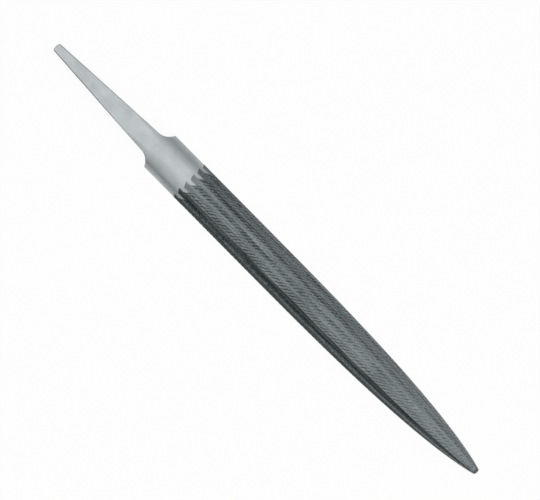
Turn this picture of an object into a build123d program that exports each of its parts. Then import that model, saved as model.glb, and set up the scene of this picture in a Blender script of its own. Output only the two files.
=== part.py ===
from build123d import *
from math import atan, cos, radians, sin, tan
import os

# Blade, measured from the shoulders to the point
blade_length = 200.0
blade_width = 19.8
blade_thickness = 6.0
edge_land = 0.4  # height of the upright strip at each edge, under the round back

# Belly: the blade keeps its full section, then curves in to the point
parallel_length = 50.0
belly_overshoot = 3.1  # how far past the point the curve would close
belly_power = 3.3
belly_fullness = 0.72
belly_sections = 15
tip_thickness = 1.8

# Nose: the point is rounded in plan, and its crown drops to the end
nose_radius = 2.1
nose_drop_run = 1.9
nose_drop_slope = 0.35
nose_height = 0.9

# Tang, measured back from the shoulders
tang_length = 65.0
tang_end_width = 4.0
tang_root_width = 10.9
tang_end_thickness = 2.4
tang_root_thickness = 5.6
tang_end_lift = 0.9  # the underside rises this much from the shoulders to the end
tang_edge_break = 0.4  # flat that breaks each corner of the tang's end
tang_root_break = 0.1  # what is left of it at the shoulders
shoulder_run = 5.6  # length of the hollow curve from the tang's side out to the corner
ramp_start = 3.1  # the tang's flat top ends this far before the shoulders
ramp_run = 3.4  # length of the hollow slope from there up to the round back

# Teeth of the round back. The slanting cut runs in rows, and the first cut shows between them at its start
back_rows = 5
bare_heel = 17.7
ridge_width = 0.35  # plain strip left between two rows of one cut
back_pitch = 2.2  # from one groove to the next, along the blade
back_groove_width = 1.8
back_groove_depth = 0.45
back_cut_angle = 36.0
first_groove_count = 2  # grooves of the first cut that show before the slanting cut begins
first_pitch = 1.3
first_groove_width = 1.1
first_groove_depth = 0.35
first_cut_angle = 113.0
run_in = 4.4  # the slanting cut starts this far after the first one
plain_point = 5.0  # from the last groove's middle to the point

# Teeth of the flat side, struck from edge to edge
flat_pitch = 1.9
flat_groove_width = 1.5
flat_groove_depth = 0.25
flat_cut_angle = 52.0

steep_share = 0.28  # of a groove's width, taken by the tooth's cutting face
groove_overrun = 0.05  # how far a groove's cutting shape stands above the steel
overrun = 0.3  # how far the other cutting shapes stand clear of what they cut

# Places along the file, with the middle of its length at zero
shoulder_x = (tang_length - blade_length) / 2
tang_end_x = shoulder_x - tang_length
root_x = shoulder_x - shoulder_run
ramp_x = shoulder_x - ramp_start
tip_x = shoulder_x + blade_length
clear_y = blade_width / 2 + overrun
clear_z = blade_thickness + overrun


def half_width(run):
    """Half the blade's width, a run past the shoulders."""
    closing_run = blade_length + belly_overshoot - parallel_length
    closed_share = max(run - parallel_length, 0) / closing_run
    return blade_width / 2 * (1 - closed_share**belly_power) ** belly_fullness


def thickness(run):
    """Height of the round back's crown over the flat side."""
    width_share = half_width(run) / (blade_width / 2)
    return tip_thickness + (blade_thickness - tip_thickness) * width_share


def back_point(run, place_share):
    """A point of the round back, its place across given from -1 to 1."""
    half = half_width(run)
    rise = thickness(run) - edge_land
    radius = (half**2 + rise**2) / (2 * rise)
    angle = place_share * 2 * atan(rise / half)
    height = thickness(run) - radius + radius * cos(angle)
    return Vector(shoulder_x + run, radius * sin(angle), height)


def half_round_section(run):
    """The blade's cross-section: a flat side, two edge strips and an arc."""
    half = half_width(run)
    with BuildSketch(Plane.YZ.offset(shoulder_x + run), mode=Mode.PRIVATE) as section:
        with BuildLine():
            Polyline((-half, edge_land), (-half, 0), (half, 0), (half, edge_land))
            ThreePointArc((half, edge_land), (0, thickness(run)), (-half, edge_land))
        make_face()
    return section.sketch


def tang_section(x, width, height, lift, edge_break):
    """The tang's cross-section: a rectangle with broken corners."""
    with BuildSketch(Plane.YZ.offset(x), mode=Mode.PRIVATE) as section:
        with Locations((0, lift)):
            Rectangle(width, height, align=(Align.CENTER, Align.MIN))
        chamfer(section.vertices(), edge_break)
    return section.sketch


def groove(middle, along, outward, reach, cut_angle, width, depth):
    """One chisel cut, slanting across a row that is twice its reach wide."""
    across = outward.cross(along).normalized()
    slant = along * cos(radians(cut_angle)) + across * sin(radians(cut_angle))
    half_length = reach / sin(radians(cut_angle))
    # The gap seen along its row: a steep cutting face, and the long back of the next tooth
    open_width = width * (depth + groove_overrun) / depth
    steep = (-steep_share * open_width, groove_overrun)
    shallow = ((1 - steep_share) * open_width, groove_overrun)
    with BuildSketch(Plane(middle - slant * half_length, along, -across), mode=Mode.PRIVATE) as gap:
        with BuildLine():
            Polyline(steep, (0, -depth), shallow, close=True)
        make_face()
    return extrude(gap.sketch, amount=2 * half_length, dir=slant, mode=Mode.PRIVATE)


def back_groove(run, rows_across, cut_angle, width, depth):
    """A groove of the round back, its middle this many rows in from the edge."""
    middle_share = 2 * rows_across / back_rows - 1
    middle = back_point(run, middle_share)
    along = (back_point(run + back_pitch, middle_share) - middle).normalized()
    row_low = back_point(run, middle_share - 1 / back_rows)
    row_high = back_point(run, middle_share + 1 / back_rows)
    outward = along.cross(row_high - row_low).normalized()
    reach = ((row_high - row_low).length - ridge_width) / 2
    return groove(middle, along, outward, reach, cut_angle, width, depth)


def flat_groove(run):
    """A groove from edge to edge of the flat side."""
    middle = Vector(shoulder_x + run, 0, 0)
    along = Vector(1, 0, 0)
    outward = Vector(0, 0, -1)
    return groove(middle, along, outward, clear_y, flat_cut_angle, flat_groove_width, flat_groove_depth)


def evenly(start, end, pitch):
    """Runs from start up to end, a pitch apart."""
    return [start + pitch * step for step in range(int((end - start) / pitch) + 1)]


with BuildPart() as file_blade:
    # A half round bar, from the tang's root to the end of the parallel blade
    extrude(half_round_section(-shoulder_run), amount=shoulder_run + parallel_length)

    # The belly, through evenly spaced sections
    section_pitch = (blade_length - parallel_length) / belly_sections
    loft([half_round_section(parallel_length + section_pitch * step) for step in range(belly_sections + 1)])

    # The nose, rounded in plan
    with BuildSketch(Plane.XY.offset(-overrun)):
        with Locations((tip_x - nose_radius, 0)):
            Rectangle(nose_radius + overrun, blade_width, align=(Align.MIN, Align.CENTER))
            Circle(nose_radius, mode=Mode.SUBTRACT)
    extrude(amount=blade_thickness, mode=Mode.SUBTRACT)

    # The nose's crown, dropping to the end
    with BuildSketch(Plane.XZ):
        with BuildLine():
            drop_start = (tip_x - nose_drop_run, thickness(blade_length - nose_drop_run))
            drop = TangentArc(drop_start, (tip_x + overrun, nose_height), tangent=(1, -nose_drop_slope))
            Polyline(drop @ 1, (tip_x + overrun, clear_z), (tip_x - nose_drop_run, clear_z), drop @ 0)
        make_face()
    extrude(amount=blade_width, both=True, mode=Mode.SUBTRACT)

    # The hollow shoulders, curving from the tang's sides out to the blade's corners
    with BuildSketch(Plane.XY.offset(-overrun)):
        with BuildLine():
            tang_side_slope = (tang_root_width - tang_end_width) / 2 / (root_x - tang_end_x)
            hollow_start = (root_x, tang_root_width / 2)
            hollow = TangentArc(hollow_start, (shoulder_x, blade_width / 2), tangent=(1, tang_side_slope))
            Polyline(hollow @ 1, (shoulder_x, clear_y), (root_x - overrun, clear_y))
            Polyline((root_x - overrun, clear_y), (root_x - overrun, tang_root_width / 2), hollow @ 0)
        make_face()
        mirror(about=Plane.XZ)
    extrude(amount=blade_thickness + 2 * overrun, mode=Mode.SUBTRACT)

    # The flat top between the shoulders, with a hollow slope up to the round back
    with BuildSketch(Plane.XZ):
        with BuildLine():
            ramp_end = (ramp_x + ramp_run, blade_thickness)
            ramp = TangentArc((ramp_x, tang_root_thickness), ramp_end, tangent=(1, 0))
            Polyline(ramp @ 1, (ramp_x + ramp_run, clear_z), (root_x - overrun, clear_z))
            Polyline((root_x - overrun, clear_z), (root_x - overrun, tang_root_thickness), ramp @ 0)
        make_face()
    extrude(amount=blade_width, both=True, mode=Mode.SUBTRACT)

    # The tang, tapering both ways to a broken end. The round of the back runs on over its upper corners
    tang_end = tang_section(tang_end_x, tang_end_width, tang_end_thickness, tang_end_lift, tang_edge_break)
    tang_root = tang_section(root_x, tang_root_width, tang_root_thickness, 0, tang_root_break)
    tang = loft([tang_end, tang_root], mode=Mode.PRIVATE)
    round_bar = half_round_section(tang_end_x - shoulder_x)
    add(tang & extrude(round_bar, amount=root_x - tang_end_x, mode=Mode.PRIVATE))
    chamfer(file_blade.faces().sort_by(Axis.X)[0].edges(), tang_edge_break)

    # The teeth of the round back: rows of the slanting cut, the middle one on the crown, and between them
    # a few grooves of the first cut
    row_half = blade_width / back_rows / 2
    first_start = bare_heel + row_half / tan(radians(180 - first_cut_angle))
    first_grooves = [
        back_groove(first_start + first_pitch * step, row, first_cut_angle, first_groove_width, first_groove_depth)
        for row in range(1, back_rows)
        for step in range(first_groove_count)
    ]
    slant_start = bare_heel + run_in + row_half / tan(radians(back_cut_angle))
    slant_grooves = [
        back_groove(run, row + 0.5, back_cut_angle, back_groove_width, back_groove_depth)
        for row in range(back_rows)
        for run in evenly(slant_start, blade_length - plain_point, back_pitch)
    ]
    add(first_grooves + slant_grooves, mode=Mode.SUBTRACT, clean=False)

    # The teeth of the flat side
    flat_start = bare_heel + blade_width / 2 / tan(radians(flat_cut_angle))
    flat_grooves = [flat_groove(run) for run in evenly(flat_start, blade_length, flat_pitch)]
    add(flat_grooves, mode=Mode.SUBTRACT, clean=False)

file_blade.part.label = "file_blade"
os.makedirs("parts", exist_ok=True)
export_step(file_blade.part, "parts/file_blade.step")
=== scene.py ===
"""A half round precision file of tool steel, lying on its flat side on a white table."""

from math import asin, atan, floor, pi, radians, sin, sqrt, tan

import bmesh
import bpy
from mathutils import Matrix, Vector, noise


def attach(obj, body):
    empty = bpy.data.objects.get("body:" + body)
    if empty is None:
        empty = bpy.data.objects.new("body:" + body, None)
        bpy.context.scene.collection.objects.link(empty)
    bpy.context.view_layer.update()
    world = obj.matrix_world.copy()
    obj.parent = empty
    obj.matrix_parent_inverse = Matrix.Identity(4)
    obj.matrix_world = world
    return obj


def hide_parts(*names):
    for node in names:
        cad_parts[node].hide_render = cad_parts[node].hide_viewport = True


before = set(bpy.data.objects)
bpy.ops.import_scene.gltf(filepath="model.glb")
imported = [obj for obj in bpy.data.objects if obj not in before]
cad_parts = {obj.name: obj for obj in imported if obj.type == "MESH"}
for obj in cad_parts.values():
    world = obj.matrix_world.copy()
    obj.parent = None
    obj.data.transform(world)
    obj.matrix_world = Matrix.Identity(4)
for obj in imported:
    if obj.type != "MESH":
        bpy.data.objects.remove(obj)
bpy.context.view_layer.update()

MM = 0.001

# The blade's sizes in mm, as in the part's source. A run is measured from the shoulders to the point
blade_length = 200.0
blade_width = 19.8
blade_thickness = 6.0
edge_land = 0.4  # height of the upright strip at each edge, under the round back
parallel_length = 50.0  # the blade keeps its full width this far, then curves in to the point
belly_overshoot = 3.1  # how far past the point the curve would close
belly_power = 3.3
belly_fullness = 0.72
tip_thickness = 1.8
nose_radius = 2.1  # of the point, seen from above
nose_drop_run = 1.9  # the crown drops over the last of the point
nose_drop_slope = 0.35
nose_height = 0.9
nose_past_end = 0.3  # the drop would reach that height this far past the point

# The tang's sizes in mm
tang_length = 65.0
tang_end_width = 4.0
tang_root_width = 10.9
tang_end_thickness = 2.4
tang_root_thickness = 5.6
tang_end_lift = 0.9  # the underside rises this much from the shoulders to the end
tang_edge_break = 0.45  # flat that breaks each edge at the tang's end
tang_root_break = 0.3  # what is left of it at the shoulders
tang_end_radius = 1.1  # of the end's corners, seen from above
wall_break_share = 0.9  # of an edge break, taken off the top of a side wall
shoulder_run = 5.6  # length of the hollow curve from the tang's side out to the corner
ramp_start = 3.1  # the tang's flat top ends this far before the shoulders
ramp_run = 3.4  # length of the slope from there up to the round heel
ramp_blend = 0.35  # how softly the slope runs into the round heel

# The bare heel, whose ground surface lies inside the crests that the chisel raised
bare_heel = 18.5
bare_inset = 0.12
heel_edge_break = 0.08
heel_edge_share = 0.5  # of the hollow's widening, over which the tang's edge break becomes the heel's

# The teeth of the round back, struck in rows. A ridge is where two rows meet, and a cut angle is in degrees
back_rows = 5.4  # rows across the back, so the ones at the edges are narrower
row_shift = -0.015  # share of a row from the crown to the middle ridge, positive to the far side
first_pitch = 0.75
first_depth = 0.14
first_cut_angle = 113.0
first_reach = 0.36  # share of a row's width, from its middle, that the first cut reaches
joined_reach = 0.5  # the share that it reaches where the slanting cut has begun
first_fullness = 1.6  # above 1, a stroke keeps its full depth further from its middle
struck_fullness = 1.2  # the same for how far it leaves the surface struck
slant_start = 4.4  # the slanting cut starts this far after the first one
slant_pitch = 2.2
slant_depth = 0.42
slant_cut_angle = 36.0
slant_shift = 0.195  # share of a row by which the slanting strokes sit to the far side of their ridge
slant_reach = 0.4  # share of a row's width, from its ridge, that the slanting cut reaches
steep_share = 0.22  # of a tooth's pitch, taken by its cutting face
fading_run = 120.0  # the slanting cut grows finer over this last run of the blade
fine_at_point = 0.5  # the share of its depth that is left at the point
plain_point = 0.4  # the end of the point has no teeth
ending_run = 3.0  # and over this run before it they grow shallow

# How far the strokes stray: in pitch and force by a share, and at the start of each row in mm
uneven_pitch = 0.3
uneven_force = 0.35
uneven_first_start = 0.5
uneven_slant_start = 0.8
# Each is read from smooth noise, with waves of its own along the blade and across it, in its own layer
pitch_waves = (0.35, 1.3, 4)
force_waves = (0.12, 0.8, 17)
stroke_waves = (0.55, 1.1, 31)
first_start_waves = (3.7, 0.4, 9)
slant_start_waves = (2.3, 0.7, 5)

# Oil and dust on the teeth, and painted shade, from none at 0 to the darkest at 1
gullet_shade = 0.52  # oil, and painted shade, down in the slanting strokes
gullet_power = 3  # how closely it keeps to the bottom of a stroke
stroke_end_power = 0.5  # how much it thins towards the ends of a stroke
row_shade = 0.32  # faintly across the rows of the first cut, in line with the slanting strokes
row_power = 2
ridge_shade = 0.19  # oil and painted shade all along the slanting rows, and less towards the point
dust_shade = 0.09  # everywhere, and less towards the point
edge_painted_shade = 0.8  # painted shade on the outermost teeth, standing in for the shaded table that they reflect
edge_places = (0.855, 0.935)  # it starts and is full here, from the crown at 0 to an edge at 1
edge_shift = 0.1  # more of it lies on the near side
near_painted_shade = 0.64  # painted shade in a band of teeth on the near side, which faces away from the light near_fill = 0.8 # the teeth in that band are this share shallower
near_fill = 0.8  # the share of their depth that it fills there
near_place = -0.53  # its middle, from the crown at 0 to the near edge at -1
near_reach = 0.155
near_fullness = 2  # above 1, the band is dark further from its middle
start_shade = 0.22  # on the far side where the cutting begins
start_places = (0.25, 0.35)  # from the crown, as on the edges
start_run = 45.0  # it thins out over this run
streak_shade = 0.4  # in streaks along the rows, where the ends of the strokes line up
streak_depth = 0.04
streak_width_share = 0.16  # of a row
streak_waves = (0.06, 1, 50)

# The teeth of the flat side
flat_first_pitch = 1.4
flat_first_angle = 118.0
flat_slant_pitch = 1.1
flat_slant_angle = 52.0
flat_run_in = 2.0  # the slanting cut starts this far after the first one
flat_depth = 0.16
flat_uneven_pitch = 0.2
flat_waves = (0.3, 0.3, 2)

# Where the three skins meet
cut_start = 18.0
back_skin_floor = 0.28  # the skin of the round back closes at this height, inside the blade
flat_skin_top = 0.34  # and that of the flat side at this one
flat_skin_tuck = 0.02  # so far inside the edges

# How finely the skins are laid: steps round them, and rings along them
back_steps = 74
flat_steps = 66
closing_steps = 6  # of either cut skin, down its edges and back inside the blade
ground_steps = 100
bottom_steps = 6  # of those, from the middle of the underside to an edge
tang_end_rings = 8
tang_rings = 30
tang_first_ring = 3.0  # the tang's rings start this far from its end
ramp_rings = 60
past_ramp = 0.6  # and the ramp's close rings go on this far past it
heel_rings = 12
cut_rings = 1220
nose_rings = 14
nose_ring_share = 0.62  # the nose's rings start this share of its radius past its middle
merge_distance = 0.0001  # points of a skin this near are one
sharp_angle = 12.0  # edges turning more than this in degrees are drawn sharp

# The finishes' grain in mm. What is too fine to show is drawn coarser
wheel_line_length = 14.0
wheel_line_width = 0.4  # about 0.1 mm on the real file
cloud_size = 7.0
torn_grain = 0.5  # about 0.1 mm on the real file

# The table
table_reach = 6.0  # in metres, from its middle to each side
table_drop = 0.02  # it lies this far under the file, so that the two never touch
table_glow = 0.92  # how much of its white is its own, where the camera or the steel sees it

# The room's brightness straight up and at the horizon, and how it falls between them
room_overhead = 1.39
room_at_horizon = 0.3
room_falloff = 1.5
# Sides of the room that are darker or brighter: a direction, where the change starts and ends, its share
near_corner = ((-0.68, -0.733, 0), 0.72, 0.82, 0.02)
point_end = ((1, 0, 0), 0.3, 0.7, 0.75)
far_side = ((0, 1, 0), 0.4, 0.8, 1.14)

# Places along the file, with the middle of its length at zero
shoulder_x = (tang_length - blade_length) / 2
tang_end_x = shoulder_x - tang_length
root_x = shoulder_x - shoulder_run
ramp_x = shoulder_x - ramp_start
ramp_end_x = ramp_x + ramp_run


def climb(value, start, end):
    """From 0 at the start to 1 at the end, and level beyond them."""
    return min(max((value - start) / (end - start), 0), 1)


def evenly(start, end, steps):
    """Steps + 1 places from start to end."""
    return [start + (end - start) * step / steps for step in range(steps + 1)]


def uneven(along, across, waves):
    """Smooth noise from -1 to 1 at a place of the blade, the same in each run of the script."""
    return noise.noise(Vector((along * waves[0], across * waves[1], waves[2])))


def soft_min(first, second, blend):
    """The lower of two heights, with the corner between them rounded."""
    near = max(blend - abs(first - second), 0) / blend
    return min(first, second) - near**2 * blend / 4


def arc_height(x, start, end, slope):
    """Height at x of the arc that leaves start at this slope and passes through end."""
    along = Vector((1, slope)).normalized()
    side = Vector((-along.y, along.x))
    chord = Vector(end) - Vector(start)
    radius = chord.length_squared / (2 * chord.dot(side))
    centre = Vector(start) + side * radius
    rise = sqrt(max(radius**2 - (x - centre.x) ** 2, 0))
    return centre.y - rise if radius > 0 else centre.y + rise


def half_width(run):
    """Half the blade's width, before the point is rounded."""
    closed_share = max(run - parallel_length, 0) / (blade_length + belly_overshoot - parallel_length)
    return blade_width / 2 * (1 - closed_share**belly_power) ** belly_fullness


def plan_half(run):
    """Half the blade's width, with the point rounded."""
    past = run - (blade_length - nose_radius)
    if past < 0:
        return half_width(run)
    return min(half_width(run), sqrt(max(nose_radius**2 - past**2, 0)))


def thickness(run):
    """Height of the round back's crown, before it drops at the nose."""
    return tip_thickness + (blade_thickness - tip_thickness) * half_width(run) / (blade_width / 2)


def crown(run):
    """Height of the round back's crown, with its drop at the nose."""
    start = blade_length - nose_drop_run
    if run < start:
        return thickness(run)
    drop_end = (blade_length + nose_past_end, nose_height)
    return min(thickness(run), arc_height(run, (start, thickness(start)), drop_end, -nose_drop_slope))


def chisel(phase):
    """A tooth's depth from 0 at its crest to 1 in its gullet: a steep cutting face, then a long back."""
    part = phase - floor(phase)
    return part / steep_share if part < steep_share else (1 - part) / (1 - steep_share)


def bite(place, reach):
    """How far a straight chisel bites into a round row: 1 in the middle of its stroke, 0 past its ends."""
    return max(1 - (place / reach) ** 2, 0)


def back_teeth(run, place, row_width):
    """Height over the crests, how far the surface is struck, and its oil and painted shade, at a place of
    the back.
    """
    across = place * back_rows / 2 - row_shift
    row = floor(across)
    from_middle = across - row - 0.5
    slant_across = across - slant_shift
    ridge = floor(slant_across + 0.5)
    from_ridge = slant_across - ridge
    to_point = climb(run, blade_length - fading_run, blade_length)
    fade = 1 - (1 - fine_at_point) * to_point
    ending = climb(blade_length - run, plain_point, plain_point + ending_run)

    # No two strokes fall quite alike
    wander = uneven_pitch * uneven(run, across, pitch_waves)
    force = 1 + uneven_force * uneven(run, across, force_waves)
    force += uneven_force * uneven(run, across, stroke_waves)

    # How far the place lies past the start of each cut
    cut_run = run - bare_heel
    slant_lean = row_width / tan(radians(slant_cut_angle))
    first_run = cut_run + from_middle * row_width / tan(radians(180 - first_cut_angle))
    first_run += uneven_first_start * uneven(row, 1, first_start_waves)
    slant_run = cut_run - slant_start - from_ridge * slant_lean
    slant_run += uneven_slant_start * uneven(ridge, 1, slant_start_waves)

    # The strokes of both cuts. The slanting ones line up from row to row
    reach = joined_reach if slant_run > 0 else first_reach
    reach += (1 - reach) * to_point
    first = min(first_fullness * bite(from_middle, reach), 1) if first_run > 0 else 0
    first_bite = chisel(first_run / first_pitch + wander) * first
    slant = bite(from_ridge, slant_reach) if slant_run > 0 else 0
    slant_tooth = chisel((run - slant_across * slant_lean) / slant_pitch + wander)
    slant_bite = slant_tooth * slant * fade
    struck = 1 if slant_run > 0 else min(first * struck_fullness, 1)
    begun = 1 if max(first_run, slant_run) > 0 else 0
    # a band on the near side, painted darker and cut shallower
    near = min(near_fullness * bite(place - near_place, near_reach), 1) * begun
    depth = max(first_bite * first_depth, slant_bite * slant_depth * force) * (1 - near_fill * near)
    streak = uneven(run, across / streak_width_share, streak_waves) * struck
    height = -bare_inset * (1 - struck) - (depth + streak_depth * streak) * ending

    # The oil and dust on them, and painted shade in the slanting grooves, on the outermost teeth and in a
    # band on the near side
    # oil and painted shade down in the slanting strokes and along their rows
    strokes = gullet_shade * slant_tooth**gullet_power * slant**stroke_end_power * force * fade
    strokes += ridge_shade * slant * (1 - to_point)
    across_rows = row_shade * slant_tooth**row_power * fade if slant_run > 0 else 0
    # painted shade on the outermost teeth, more of it on the near side
    edge = climb(abs(place - edge_shift), *edge_places)
    start = (1 - climb(cut_run, 0, start_run)) * climb(place, *start_places)
    oil_and_painted_shade = max(strokes, across_rows, edge_painted_shade * edge, near_painted_shade * near)
    oil_and_painted_shade += streak_shade * streak + dust_shade * (1 - to_point) + start_shade * start
    return height, struck, min(max(oil_and_painted_shade, 0), 1) * ending


def back_place(run, step):
    """A point of the cut round back's skin, how far it is struck, and its oil and painted shade."""
    half = half_width(run)
    rise = thickness(run) - edge_land
    radius = (half**2 + rise**2) / (2 * rise)
    reach = min(2 * atan(rise / half), pi / 2)
    place = min(2 * step / back_steps - 1, 1)
    y = plan_half(run) * sin(place * reach) / sin(reach)
    z = min(thickness(run) - radius + sqrt(max(radius**2 - y**2, 0)), crown(run))
    height, struck, oil_and_painted_shade = back_teeth(run, place, 2 * radius * reach / back_rows)
    y += height * y / radius
    z += height * sqrt(max(1 - (y / radius) ** 2, 0))
    if step > back_steps:
        # Down the edge, and back across inside the blade
        share = 1 - 2 * (step - back_steps - 1) / (closing_steps - 2)
        return Vector((shoulder_x + run, y * share, back_skin_floor)), struck, 0
    return Vector((shoulder_x + run, y, z)), struck, oil_and_painted_shade


def flat_place(run, step):
    """A point of the cut flat side's skin, how far it is struck, and its oil and painted shade, darkest in
    the gullets.
    """
    half = plan_half(run)
    if step > flat_steps:
        # Up the edge, and back across inside the blade
        share = 1 - 2 * (step - flat_steps - 1) / (closing_steps - 2)
        return Vector((shoulder_x + run, (half - flat_skin_tuck) * share, flat_skin_top)), 1, 0
    y = half * (2 * step / flat_steps - 1)
    wander = flat_uneven_pitch * uneven(run, y, flat_waves)
    first_run = run - bare_heel - (blade_width / 2 - y) / tan(radians(180 - flat_first_angle))
    slant_run = run - bare_heel - flat_run_in - (blade_width / 2 + y) / tan(radians(flat_slant_angle))
    first_bite = chisel(first_run / flat_first_pitch + wander) if first_run > 0 else 0
    slant_bite = chisel(slant_run / flat_slant_pitch + wander) if slant_run > 0 else 0
    struck = 1 if max(first_run, slant_run) > 0 else 0
    bitten = max(first_bite, slant_bite)
    z = bare_inset * (1 - struck) + flat_depth * bitten
    return Vector((shoulder_x + run, y, z)), struck, bitten


def ground_place(x, step):
    """A point of the ground tang and heel's skin, which is not struck and has no oil or painted shade."""
    past_end = max(tang_edge_break - (x - tang_end_x), 0)
    past_corner = max(tang_end_radius - (x - tang_end_x), 0)
    tang_share = min((x - tang_end_x) / (root_x - tang_end_x), 1)
    half = (tang_end_width + (tang_root_width - tang_end_width) * tang_share) / 2
    bottom = tang_end_lift * (1 - tang_share)
    end_top = tang_end_lift + tang_end_thickness
    top = end_top + (tang_root_thickness - end_top) * tang_share
    edge_break = tang_edge_break + (tang_root_break - tang_edge_break) * tang_share
    if x > root_x:
        side_slope = (tang_root_width - tang_end_width) / 2 / (root_x - tang_end_x)
        corner = (shoulder_x, blade_width / 2 - bare_inset)
        half = arc_height(min(x, shoulder_x), (root_x, tang_root_width / 2), corner, side_slope)
        widened = (half - tang_root_width / 2) / (corner[1] - tang_root_width / 2)
        edge_break += (heel_edge_break - tang_root_break) * climb(widened, 0, heel_edge_share)
        bottom = bare_inset * min((x - root_x) / shoulder_run, 1)
    if x > ramp_x:
        ramp_end = (ramp_end_x, blade_thickness)
        top = arc_height(min(x, ramp_end_x), ramp_end, (ramp_x, tang_root_thickness), 0)
    if x > ramp_end_x:
        top += x - ramp_end_x

    # The same arc as the round back's, bare_inset inside it
    rise = blade_thickness - edge_land
    back_radius = ((blade_width / 2) ** 2 + rise**2) / (2 * rise)
    radius = back_radius - bare_inset

    def top_height(y):
        return soft_min(top, blade_thickness - back_radius + sqrt(radius**2 - y**2), ramp_blend)

    # Both sides are alike: out along the underside, up the wall, and back over the top
    half -= tang_end_radius - sqrt(tang_end_radius**2 - past_corner**2)
    side = 1
    if step > ground_steps / 2:
        step = ground_steps - step
        side = -1
    wall_top = top_height(half) - past_end
    if step <= bottom_steps:
        y = (half - edge_break) * step / bottom_steps
        z = bottom + past_end
    elif step == bottom_steps + 1:
        y = half
        z = bottom + past_end + edge_break
    elif step == bottom_steps + 2:
        y = half
        z = wall_top - edge_break * wall_break_share
    else:
        share = 1 - (step - bottom_steps - 3) / (ground_steps / 2 - bottom_steps - 3)
        y = radius * sin(share * asin((half - edge_break) / radius))
        z = top_height(y) - past_end
    return Vector((x, y * side, z)), 0, 0


def skin(name, along, around, place, material):
    """A closed skin: a grid laid round the file, with each of its points put in place by a formula."""
    grid = bmesh.new()
    struck = grid.verts.layers.float.new("struck")
    oil_and_painted_shade = grid.verts.layers.float.new("oil_and_painted_shade")
    bmesh.ops.create_grid(grid, x_segments=len(along) - 1, y_segments=around, size=1)
    for vert in grid.verts:
        ring = round((vert.co.x + 1) / 2 * (len(along) - 1))
        step = round((vert.co.y + 1) / 2 * around) % around
        point, vert[struck], vert[oil_and_painted_shade] = place(along[ring], step)
        vert.co = point * MM
    bmesh.ops.remove_doubles(grid, verts=grid.verts, dist=merge_distance * MM)
    bmesh.ops.edgeloop_fill(grid, edges=[edge for edge in grid.edges if edge.is_boundary])
    bmesh.ops.recalc_face_normals(grid, faces=grid.faces)
    mesh = bpy.data.meshes.new(name)
    grid.to_mesh(mesh)
    grid.free()
    mesh.shade_smooth()
    mesh.set_sharp_from_angle(angle=radians(sharp_angle))
    mesh.materials.append(material)
    piece = bpy.data.objects.new(name, mesh)
    bpy.context.collection.objects.link(piece)
    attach(piece, "root")
    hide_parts("file_blade")


def colour(hex_value):
    """An sRGB hex colour as the linear one that a socket takes."""
    parts = [int(hex_value[place : place + 2], 16) / 255 for place in (1, 3, 5)]
    return (*[part / 12.92 if part <= 0.04045 else ((part + 0.055) / 1.055) ** 2.4 for part in parts], 1)


def add_node(tree, kind, settings=None, links=None):
    """Adds a node, sets its options and sockets by name, and links other nodes' outputs to it."""
    node = tree.nodes.new(kind)
    for option, value in (settings or {}).items():
        if hasattr(node, option):
            setattr(node, option, value)
    sockets = {socket.identifier: socket for socket in node.inputs}
    for option, value in (settings or {}).items():
        if not hasattr(node, option):
            sockets[option].default_value = value
    for name, output in (links or {}).items():
        tree.links.new(output, sockets[name])
    return node


def new_material(name):
    """An empty node material."""
    material = bpy.data.materials.new(name)
    material.use_nodes = True
    material.node_tree.nodes.clear()
    return material


def ground_finish(tree, coordinates):
    """Colour, roughness and height of ground steel: soft clouds, and fine wheel lines along the file."""
    line_scale = 1 / (wheel_line_width * MM)
    stretched = add_node(
        tree,
        "ShaderNodeMapping",
        {"Scale": (1 / (wheel_line_length * MM), line_scale, line_scale)},
        {"Vector": coordinates},
    )
    lines = add_node(
        tree,
        "ShaderNodeTexNoise",
        {"Scale": 1, "Detail": 3},
        {"Vector": stretched.outputs[0]},
    )
    clouds = add_node(
        tree,
        "ShaderNodeTexNoise",
        {"Scale": 1 / (cloud_size * MM), "Detail": 2},
        {"Vector": coordinates},
    )
    # The clouds count twice as much as the lines
    both = add_node(
        tree,
        "ShaderNodeMath",
        {"operation": "MULTIPLY_ADD", "Value_001": 2.0},
        {"Value": clouds.outputs["Fac"], "Value_002": lines.outputs["Fac"]},
    )
    shade = add_node(
        tree,
        "ShaderNodeMapRange",
        {"From Min": 0.9, "From Max": 2.1, "To Min": 0, "To Max": 1},
        {"Value": both.outputs[0]},
    )
    tint = add_node(
        tree,
        "ShaderNodeMix",
        {"data_type": "RGBA", "A_Color": colour("#A6ACAE"), "B_Color": colour("#B5BBBD")},
        {"Factor_Float": shade.outputs[0]},
    )
    roughness = add_node(
        tree,
        "ShaderNodeMapRange",
        {"From Min": 0, "From Max": 1, "To Min": 0.44, "To Max": 0.36},
        {"Value": shade.outputs[0]},
    )
    return tint.outputs[2], roughness.outputs[0], lines.outputs["Fac"]


def ground_tool_steel():
    """Tool steel ground on a wheel: a soft satin grey, a little uneven, with faint lines along the file."""
    material = new_material("ground_tool_steel")
    tree = material.node_tree
    coordinates = add_node(tree, "ShaderNodeTexCoord").outputs["Object"]
    tint, roughness, lines = ground_finish(tree, coordinates)
    bump = add_node(tree, "ShaderNodeBump", {"Strength": 0.02, "Distance": 0.02 * MM}, {"Height": lines})
    steel = add_node(
        tree,
        "ShaderNodeBsdfPrincipled",
        {"Metallic": 1.0},
        {"Base Color": tint, "Roughness": roughness, "Normal": bump.outputs[0]},
    )
    add_node(tree, "ShaderNodeOutputMaterial", {}, {"Surface": steel.outputs[0]})
    return material


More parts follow.
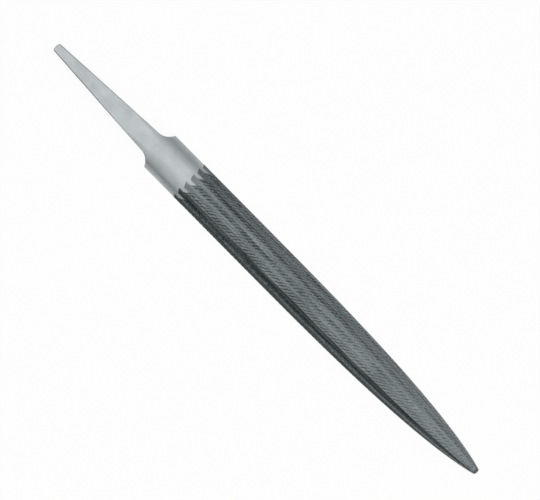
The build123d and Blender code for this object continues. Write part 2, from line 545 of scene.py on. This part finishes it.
def chisel_cut_steel():
    """Hardened tool steel with teeth cut by a chisel: dull dark grey with a torn grain, darker where oil
    and dust lie and where shade is painted in, and pale where the first strokes left the ground surface
    bare."""
    material = new_material("chisel_cut_steel")
    tree = material.node_tree
    coordinates = add_node(tree, "ShaderNodeTexCoord").outputs["Object"]
    ground_tint, ground_roughness, ground_lines = ground_finish(tree, coordinates)
    struck = add_node(tree, "ShaderNodeAttribute", {"attribute_name": "struck"}).outputs["Fac"]
    # this attribute holds oil and dust, and painted shade in the grooves, at the edges and on the near side
    oil_and_painted_shade = add_node(tree, "ShaderNodeAttribute", {"attribute_name": "oil_and_painted_shade"}).outputs["Fac"]
    grain = add_node(
        tree,
        "ShaderNodeTexNoise",
        {"Scale": 1 / (torn_grain * MM), "Detail": 3},
        {"Vector": coordinates},
    )
    grainy_oil_and_painted_shade = add_node(
        tree,
        "ShaderNodeMath",
        {"operation": "ADD"},
        {"Value": grain.outputs["Fac"], "Value_001": oil_and_painted_shade},
    )
    darkness = add_node(
        tree,
        "ShaderNodeMapRange",
        {"From Min": 0.42, "From Max": 1.34, "To Min": 0, "To Max": 1},
        {"Value": grainy_oil_and_painted_shade.outputs[0]},
    )
    cut_tint = add_node(
        tree,
        "ShaderNodeMix",
        {"data_type": "RGBA", "A_Color": colour("#848C8E"), "B_Color": colour("#343A3C")},
        {"Factor_Float": darkness.outputs[0]},
    )
    tint = add_node(
        tree,
        "ShaderNodeMix",
        {"data_type": "RGBA"},
        {"Factor_Float": struck, "A_Color": ground_tint, "B_Color": cut_tint.outputs[2]},
    )
    roughness = add_node(
        tree,
        "ShaderNodeMix",
        {"data_type": "FLOAT", "B_Float": 0.3},
        {"Factor_Float": struck, "A_Float": ground_roughness},
    )
    texture = add_node(
        tree,
        "ShaderNodeMix",
        {"data_type": "FLOAT"},
        {"Factor_Float": struck, "A_Float": ground_lines, "B_Float": grain.outputs["Fac"]},
    )
    bump = add_node(
        tree,
        "ShaderNodeBump",
        {"Strength": 0.2, "Distance": 0.05 * MM},
        {"Height": texture.outputs[0]},
    )
    steel = add_node(
        tree,
        "ShaderNodeBsdfPrincipled",
        {"Metallic": 1.0},
        {"Base Color": tint.outputs[2], "Roughness": roughness.outputs[0], "Normal": bump.outputs[0]},
    )
    add_node(tree, "ShaderNodeOutputMaterial", {}, {"Surface": steel.outputs[0]})
    return material


def white_table_paper():
    """Table paper, matt, shown white to the camera and in the steel, with the file's own shadow."""
    material = new_material("white_table_paper")
    tree = material.node_tree
    paper = add_node(tree, "ShaderNodeBsdfDiffuse", {"Color": colour("#FAFAFA")})
    glow = add_node(tree, "ShaderNodeEmission", {"Color": colour("#FFFFFF"), "Strength": 1.0})
    path = add_node(tree, "ShaderNodeLightPath")
    seen = add_node(
        tree,
        "ShaderNodeMath",
        {"operation": "MAXIMUM"},
        {"Value": path.outputs["Is Camera Ray"], "Value_001": path.outputs["Is Glossy Ray"]},
    )
    seen_through = add_node(
        tree,
        "ShaderNodeMath",
        {"operation": "MAXIMUM"},
        {"Value": seen.outputs[0], "Value_001": path.outputs["Is Transmission Ray"]},
    )
    share = add_node(
        tree,
        "ShaderNodeMath",
        {"operation": "MULTIPLY", "Value_001": table_glow},
        {"Value": seen_through.outputs[0]},
    )
    mixed = add_node(
        tree,
        "ShaderNodeMixShader",
        {},
        {"Fac": share.outputs[0], "Shader": paper.outputs[0], "Shader_001": glow.outputs[0]},
    )
    add_node(tree, "ShaderNodeOutputMaterial", {}, {"Surface": mixed.outputs[0]})
    return material


def pale_room():
    """A world: a pale room, brightest overhead and dark in the corner by the tang on the near side."""
    world = bpy.data.worlds.new("pale_room")
    world.use_nodes = True
    room = world.node_tree
    room.nodes.clear()
    direction = add_node(room, "ShaderNodeTexCoord").outputs["Generated"]
    parts = add_node(room, "ShaderNodeSeparateXYZ", {}, {"Vector": direction})
    raised = add_node(
        room,
        "ShaderNodeMath",
        {"operation": "MAXIMUM", "Value_001": 0.0},
        {"Value": parts.outputs["Z"]},
    )
    curved = add_node(
        room,
        "ShaderNodeMath",
        {"operation": "POWER", "Value_001": room_falloff},
        {"Value": raised.outputs[0]},
    )
    strength = add_node(
        room,
        "ShaderNodeMapRange",
        {"From Min": 0, "From Max": 1, "To Min": room_at_horizon, "To Max": room_overhead},
        {"Value": curved.outputs[0]},
    )
    brightness = strength.outputs[0]
    for side, start, end, share in (near_corner, point_end, far_side):
        towards = add_node(
            room,
            "ShaderNodeVectorMath",
            {"operation": "DOT_PRODUCT", "Vector_001": side},
            {"Vector": direction},
        )
        changed = add_node(
            room,
            "ShaderNodeMapRange",
            {"From Min": start, "From Max": end, "To Min": 1, "To Max": share},
            {"Value": towards.outputs["Value"]},
        )
        both = add_node(
            room,
            "ShaderNodeMath",
            {"operation": "MULTIPLY"},
            {"Value": brightness, "Value_001": changed.outputs[0]},
        )
        brightness = both.outputs[0]
    glow = add_node(room, "ShaderNodeBackground", {"Color": colour("#FFFFFF")}, {"Strength": brightness})
    add_node(room, "ShaderNodeOutputWorld", {}, {"Surface": glow.outputs[0]})
    return world


def softbox(name, place, aim, width, length, power, spread):
    """A soft lamp at a place, turned to shine at a point."""
    lamp = bpy.data.lights.new(name, "AREA")
    lamp.shape = "RECTANGLE"
    lamp.size = width
    lamp.size_y = length
    lamp.energy = power
    lamp.spread = radians(spread)
    stand = bpy.data.objects.new(name, lamp)
    stand.location = place
    stand.rotation_euler = (Vector(aim) - Vector(place)).to_track_quat("-Z", "Y").to_euler()
    bpy.context.collection.objects.link(stand)


# The tang and the bare heel, in one skin
ground_steel = ground_tool_steel()
tang_end_places = evenly(tang_end_x, tang_end_x + tang_end_radius, tang_end_rings)
tang_places = evenly(tang_end_x + tang_first_ring, root_x, tang_rings)
ramp_places = evenly(root_x, ramp_end_x + past_ramp, ramp_rings)[1:]
heel_places = evenly(ramp_end_x + past_ramp, shoulder_x + cut_start, heel_rings)[1:]
ground_places = tang_end_places + tang_places + ramp_places + heel_places
skin("ground_tang_and_heel", ground_places, ground_steps, ground_place, ground_steel)

# The cut blade, in a skin for its round back and one for its flat side
cut_steel = chisel_cut_steel()
nose_angles = evenly(asin(nose_ring_share), pi / 2, nose_rings)
nose_runs = [blade_length - nose_radius * (1 - sin(angle)) for angle in nose_angles]
cut_runs = evenly(cut_start, nose_runs[0], cut_rings)[:-1] + nose_runs
skin("cut_round_back", cut_runs, back_steps + closing_steps, back_place, cut_steel)
skin("cut_flat_side", cut_runs, flat_steps + closing_steps, flat_place, cut_steel)

# The table
table_grid = bmesh.new()
bmesh.ops.create_grid(table_grid, x_segments=1, y_segments=1, size=table_reach)
bmesh.ops.translate(table_grid, verts=table_grid.verts, vec=(0, 0, -table_drop * MM))
table_mesh = bpy.data.meshes.new("table")
table_grid.to_mesh(table_mesh)
table_grid.free()
table_mesh.materials.append(white_table_paper())
table = bpy.data.objects.new("table", table_mesh)
bpy.context.collection.objects.link(table)

# Light: the room, and two softboxes that reach only the heel and the point
bpy.context.scene.world = pale_room()
softbox("heel_softbox", (-0.045, -0.21, 0.115), (-0.06, 0, 0), 0.08, 0.08, power=0.0007, spread=25)
softbox("point_softbox", (0.075, 0.21, 0.12), (0.124, 0, 0), 0.06, 0.2, power=0.0008, spread=20)

# The camera looks straight down, turned so that the file lies across the picture
camera_data = bpy.data.cameras.new("camera")
camera_data.lens = 100
camera_data.sensor_width = 36
camera = bpy.data.objects.new("camera", camera_data)
camera.location = (-0.0020, 0.0040, 0.6655)
camera.rotation_euler = (0, 0, radians(45.35))
bpy.context.collection.objects.link(camera)
bpy.context.scene.camera = camera
bpy.context.scene.view_settings.view_transform = "Standard"
